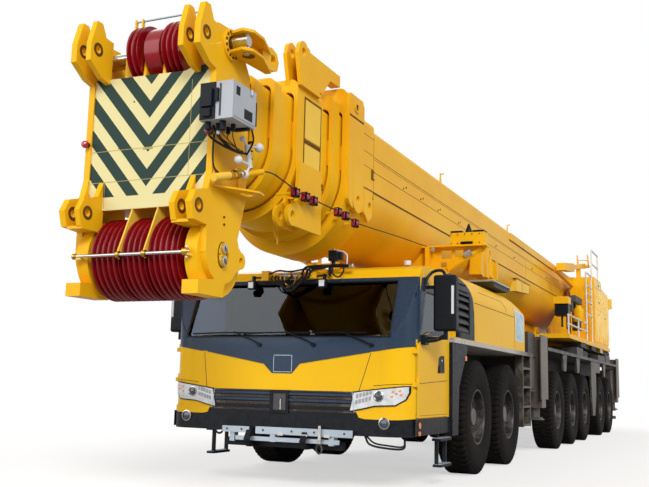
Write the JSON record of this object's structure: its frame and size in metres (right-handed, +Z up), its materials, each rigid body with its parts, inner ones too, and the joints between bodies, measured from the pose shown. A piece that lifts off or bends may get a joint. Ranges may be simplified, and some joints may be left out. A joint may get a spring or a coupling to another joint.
{
  "type": "mobile crane",
  "caption": "Multi-axle all-terrain mobile crane with a telescopic boom laid over the cab, slewing superstructure, luffing cylinder and outriggers.",
  "frame": {"origin": "on the ground, under the middle of the machine's length and width", "axes": "+X forward, over the cab, +Y to the machine's left, +Z up"},
  "size_m": [23.09, 3.58, 4.5599],
  "materials": {
    "yellow_paint": "gloss",
    "chassis_paint": "satin",
    "deck_grey": "satin",
    "steel_grey": "satin",
    "engine_grey": "matte",
    "axle_iron": "matte",
    "bare_steel": "satin",
    "chrome_rod": "gloss",
    "window_glass": "gloss",
    "lamp_lens": "gloss",
    "cab_trim": "matte",
    "black_plastic": "satin",
    "rail_white": "satin",
    "sheave_red": "gloss",
    "tyre_rubber": "matte"
  },
  "bodies": {
    "root": {"chassis_frame": "chassis_paint", "carrier_engine": "engine_grey", "deck_plates": "deck_grey", "engine_hood": "yellow_paint", "cab_shell": "yellow_paint", "cab_windscreen": "window_glass", "cab_interior": "cab_trim", "bumper_and_steps": "black_plastic", "headlamps": "lamp_lens", "axle_beams": "axle_iron"},
    "door_left": {"cab_door_left": "yellow_paint", "mirror_left": "black_plastic"},
    "door_right": {"cab_door_right": "yellow_paint", "mirror_right": "black_plastic"},
    "outrigger_front_left": {"outrigger_beam_front_left": "steel_grey"},
    "jack_front_left": {"outrigger_jack_front_left": "bare_steel"},
    "outrigger_front_right": {"outrigger_beam_front_right": "steel_grey"},
    "jack_front_right": {"outrigger_jack_front_right": "bare_steel"},
    "outrigger_rear_left": {"outrigger_beam_rear_left": "steel_grey"},
    "jack_rear_left": {"outrigger_jack_rear_left": "bare_steel"},
    "outrigger_rear_right": {"outrigger_beam_rear_right": "steel_grey"},
    "jack_rear_right": {"outrigger_jack_rear_right": "bare_steel"},
    "superstructure": {"turntable": "yellow_paint", "power_cabinet": "yellow_paint", "crane_cab": "yellow_paint", "handrails": "rail_white"},
    "crane_cab_door": {"crane_cab_door": "yellow_paint"},
    "winch": {"winch_drum": "steel_grey"},
    "boom_1": {"boom_section_1": "yellow_paint"},
    "boom_2": {"boom_section_2": "yellow_paint"},
    "boom_3": {"boom_section_3": "yellow_paint"},
    "boom_4": {"boom_section_4": "yellow_paint"},
    "boom_5": {"boom_section_5": "yellow_paint"},
    "boom_6": {"boom_section_6": "yellow_paint"},
    "sheaves_lower": {"head_sheaves_lower": "sheave_red"},
    "sheaves_upper": {"head_sheaves_upper": "sheave_red"},
    "luff_barrel": {"luff_barrel": "yellow_paint"},
    "luff_rod": {"luff_rod": "chrome_rod"},
    "knuckle_1_left": {"knuckle_1_left": "axle_iron"},
    "knuckle_1_right": {"knuckle_1_right": "axle_iron"},
    "knuckle_2_left": {"knuckle_2_left": "axle_iron"},
    "knuckle_2_right": {"knuckle_2_right": "axle_iron"},
    "knuckle_6_left": {"knuckle_6_left": "axle_iron"},
    "knuckle_6_right": {"knuckle_6_right": "axle_iron"},
    "knuckle_7_left": {"knuckle_7_left": "axle_iron"},
    "knuckle_7_right": {"knuckle_7_right": "axle_iron"},
    "wheel_1_left": {"wheel_1_left": "tyre_rubber"},
    "wheel_1_right": {"wheel_1_right": "tyre_rubber"},
    "wheel_2_left": {"wheel_2_left": "tyre_rubber"},
    "wheel_2_right": {"wheel_2_right": "tyre_rubber"},
    "wheel_3_left": {"wheel_3_left": "tyre_rubber"},
    "wheel_3_right": {"wheel_3_right": "tyre_rubber"},
    "wheel_4_left": {"wheel_4_left": "tyre_rubber"},
    "wheel_4_right": {"wheel_4_right": "tyre_rubber"},
    "wheel_5_left": {"wheel_5_left": "tyre_rubber"},
    "wheel_5_right": {"wheel_5_right": "tyre_rubber"},
    "wheel_6_left": {"wheel_6_left": "tyre_rubber"},
    "wheel_6_right": {"wheel_6_right": "tyre_rubber"},
    "wheel_7_left": {"wheel_7_left": "tyre_rubber"},
    "wheel_7_right": {"wheel_7_right": "tyre_rubber"}
  },
  "joints": [
    {"name": "door_left_swing", "type": "hinge", "parent": "root", "child": "door_left", "pos_m": [8.433, 1.454, 1], "axis": [0, 0, -1], "range_deg": [0, 72]},
    {"name": "door_right_swing", "type": "hinge", "parent": "root", "child": "door_right", "pos_m": [8.433, -1.454, 1], "axis": [0, 0, 1], "range_deg": [0, 72]},
    {"name": "outrigger_front_left_slide", "type": "slide", "parent": "root", "child": "outrigger_front_left", "axis": [0, 1, 0], "range_m": [0, 2]},
    {"name": "jack_front_left_lower", "type": "slide", "parent": "outrigger_front_left", "child": "jack_front_left", "axis": [0, 0, -1], "range_m": [0, 0.55]},
    {"name": "outrigger_front_right_slide", "type": "slide", "parent": "root", "child": "outrigger_front_right", "axis": [0, -1, 0], "range_m": [0, 2]},
    {"name": "jack_front_right_lower", "type": "slide", "parent": "outrigger_front_right", "child": "jack_front_right", "axis": [0, 0, -1], "range_m": [0, 0.55]},
    {"name": "outrigger_rear_left_slide", "type": "slide", "parent": "root", "child": "outrigger_rear_left", "axis": [0, 1, 0], "range_m": [0, 2]},
    {"name": "jack_rear_left_lower", "type": "slide", "parent": "outrigger_rear_left", "child": "jack_rear_left", "axis": [0, 0, -1], "range_m": [0, 0.55]},
    {"name": "outrigger_rear_right_slide", "type": "slide", "parent": "root", "child": "outrigger_rear_right", "axis": [0, -1, 0], "range_m": [0, 2]},
    {"name": "jack_rear_right_lower", "type": "slide", "parent": "outrigger_rear_right", "child": "jack_rear_right", "axis": [0, 0, -1], "range_m": [0, 0.55]},
    {"name": "slew", "type": "hinge", "parent": "root", "child": "superstructure", "pos_m": [-4.37, 0, 2.055], "axis": [0, 0, 1], "continuous": true},
    {"name": "crane_cab_door_slide", "type": "slide", "parent": "superstructure", "child": "crane_cab_door", "axis": [-1, 0, 0], "range_m": [0, 0.72]},
    {"name": "winch_turn", "type": "hinge", "parent": "superstructure", "child": "winch", "pos_m": [-9.82, 0, 3.23], "axis": [0, 1, 0], "continuous": true},
    {"name": "boom_luff", "type": "hinge", "parent": "superstructure", "child": "boom_1", "pos_m": [-6.32, 0, 3.35], "axis": [0, -1, 0], "range_deg": [0, 82]},
    {"name": "telescope_2", "type": "slide", "parent": "boom_1", "child": "boom_2", "axis": [1, 0, 0], "range_m": [0, 11.5]},
    {"name": "telescope_3", "type": "slide", "parent": "boom_2", "child": "boom_3", "axis": [1, 0, 0], "range_m": [0, 11.5]},
    {"name": "telescope_4", "type": "slide", "parent": "boom_3", "child": "boom_4", "axis": [1, 0, 0], "range_m": [0, 11.5]},
    {"name": "telescope_5", "type": "slide", "parent": "boom_4", "child": "boom_5", "axis": [1, 0, 0], "range_m": [0, 11.5]},
    {"name": "telescope_6", "type": "slide", "parent": "boom_5", "child": "boom_6", "axis": [1, 0, 0], "range_m": [0, 11.5]},
    {"name": "sheaves_lower_turn", "type": "hinge", "parent": "boom_6", "child": "sheaves_lower", "pos_m": [11.03, 0, 2.08], "axis": [0, 1, 0], "continuous": true},
    {"name": "sheaves_upper_turn", "type": "hinge", "parent": "boom_6", "child": "sheaves_upper", "pos_m": [11.065, 0, 3.885], "axis": [0, 1, 0], "continuous": true},
    {"name": "luff_barrel_swing", "type": "hinge", "parent": "superstructure", "child": "luff_barrel", "pos_m": [-4.22, 0, 2.422], "axis": [0, -1, 0], "range_deg": [0, 92.2]},
    {"name": "luff_rod_slide", "type": "slide", "parent": "luff_barrel", "child": "luff_rod", "axis": [1, 0, 0], "range_m": [0, 2.8419]},
    {"name": "steer_1_left", "type": "hinge", "parent": "root", "child": "knuckle_1_left", "pos_m": [6.08, 1, 0.705], "axis": [0, 0, 1], "range_deg": [-30, 30]},
    {"name": "steer_1_right", "type": "hinge", "parent": "root", "child": "knuckle_1_right", "pos_m": [6.08, -1, 0.705], "axis": [0, 0, 1], "range_deg": [-30.01, 30.01]},
    {"name": "steer_2_left", "type": "hinge", "parent": "root", "child": "knuckle_2_left", "pos_m": [4.36, 1, 0.705], "axis": [0, 0, 1], "range_deg": [-22.01, 22.01]},
    {"name": "steer_2_right", "type": "hinge", "parent": "root", "child": "knuckle_2_right", "pos_m": [4.36, -1, 0.705], "axis": [0, 0, 1], "range_deg": [-22.01, 22.01]},
    {"name": "steer_6_left", "type": "hinge", "parent": "root", "child": "knuckle_6_left", "pos_m": [-5.7, 1, 0.705], "axis": [0, 0, 1], "range_deg": [-13.01, 13.01]},
    {"name": "steer_6_right", "type": "hinge", "parent": "root", "child": "knuckle_6_right", "pos_m": [-5.7, -1, 0.705], "axis": [0, 0, 1], "range_deg": [-13.01, 13.01]},
    {"name": "steer_7_left", "type": "hinge", "parent": "root", "child": "knuckle_7_left", "pos_m": [-7.42, 1, 0.705], "axis": [0, 0, 1], "range_deg": [-18.01, 18.01]},
    {"name": "steer_7_right", "type": "hinge", "parent": "root", "child": "knuckle_7_right", "pos_m": [-7.42, -1, 0.705], "axis": [0, 0, 1], "range_deg": [-18.01, 18.01]},
    {"name": "spin_1_left", "type": "hinge", "parent": "knuckle_1_left", "child": "wheel_1_left", "pos_m": [6.08, 1.3, 0.705], "axis": [0, 1, 0], "continuous": true},
    {"name": "spin_1_right", "type": "hinge", "parent": "knuckle_1_right", "child": "wheel_1_right", "pos_m": [6.08, -1.3, 0.705], "axis": [0, 1, 0], "continuous": true},
    {"name": "spin_2_left", "type": "hinge", "parent": "knuckle_2_left", "child": "wheel_2_left", "pos_m": [4.36, 1.3, 0.705], "axis": [0, 1, 0], "continuous": true},
    {"name": "spin_2_right", "type": "hinge", "parent": "knuckle_2_right", "child": "wheel_2_right", "pos_m": [4.36, -1.3, 0.705], "axis": [0, 1, 0], "continuous": true},
    {"name": "spin_3_left", "type": "hinge", "parent": "root", "child": "wheel_3_left", "pos_m": [0.32, 1.3, 0.705], "axis": [0, 1, 0], "continuous": true},
    {"name": "spin_3_right", "type": "hinge", "parent": "root", "child": "wheel_3_right", "pos_m": [0.32, -1.3, 0.705], "axis": [0, 1, 0], "continuous": true},
    {"name": "spin_4_left", "type": "hinge", "parent": "root", "child": "wheel_4_left", "pos_m": [-1.4, 1.3, 0.705], "axis": [0, 1, 0], "continuous": true},
    {"name": "spin_4_right", "type": "hinge", "parent": "root", "child": "wheel_4_right", "pos_m": [-1.4, -1.3, 0.705], "axis": [0, 1, 0], "continuous": true},
    {"name": "spin_5_left", "type": "hinge", "parent": "root", "child": "wheel_5_left", "pos_m": [-3.09, 1.3, 0.705], "axis": [0, 1, 0], "continuous": true},
    {"name": "spin_5_right", "type": "hinge", "parent": "root", "child": "wheel_5_right", "pos_m": [-3.09, -1.3, 0.705], "axis": [0, 1, 0], "continuous": true},
    {"name": "spin_6_left", "type": "hinge", "parent": "knuckle_6_left", "child": "wheel_6_left", "pos_m": [-5.7, 1.3, 0.705], "axis": [0, 1, 0], "continuous": true},
    {"name": "spin_6_right", "type": "hinge", "parent": "knuckle_6_right", "child": "wheel_6_right", "pos_m": [-5.7, -1.3, 0.705], "axis": [0, 1, 0], "continuous": true},
    {"name": "spin_7_left", "type": "hinge", "parent": "knuckle_7_left", "child": "wheel_7_left", "pos_m": [-7.42, 1.3, 0.705], "axis": [0, 1, 0], "continuous": true},
    {"name": "spin_7_right", "type": "hinge", "parent": "knuckle_7_right", "child": "wheel_7_right", "pos_m": [-7.42, -1.3, 0.705], "axis": [0, 1, 0], "continuous": true}
  ],
  "couplings": [
    {"joint": "telescope_3", "follows": "telescope_2", "ratio": 1},
    {"joint": "telescope_4", "follows": "telescope_2", "ratio": 1},
    {"joint": "telescope_5", "follows": "telescope_2", "ratio": 1},
    {"joint": "telescope_6", "follows": "telescope_2", "ratio": 1},
    {"joint": "luff_barrel_swing", "follows": "boom_luff", "ratio": 1.1242},
    {"joint": "luff_rod_slide", "follows": "boom_luff", "m_per_rad": 1.985},
    {"joint": "steer_1_right", "follows": "steer_1_left", "ratio": 1},
    {"joint": "steer_2_left", "follows": "steer_1_left", "ratio": 0.73333},
    {"joint": "steer_2_right", "follows": "steer_1_left", "ratio": 0.73333},
    {"joint": "steer_6_left", "follows": "steer_1_left", "ratio": -0.43333},
    {"joint": "steer_6_right", "follows": "steer_1_left", "ratio": -0.43333},
    {"joint": "steer_7_left", "follows": "steer_1_left", "ratio": -0.6},
    {"joint": "steer_7_right", "follows": "steer_1_left", "ratio": -0.6}
  ]
}
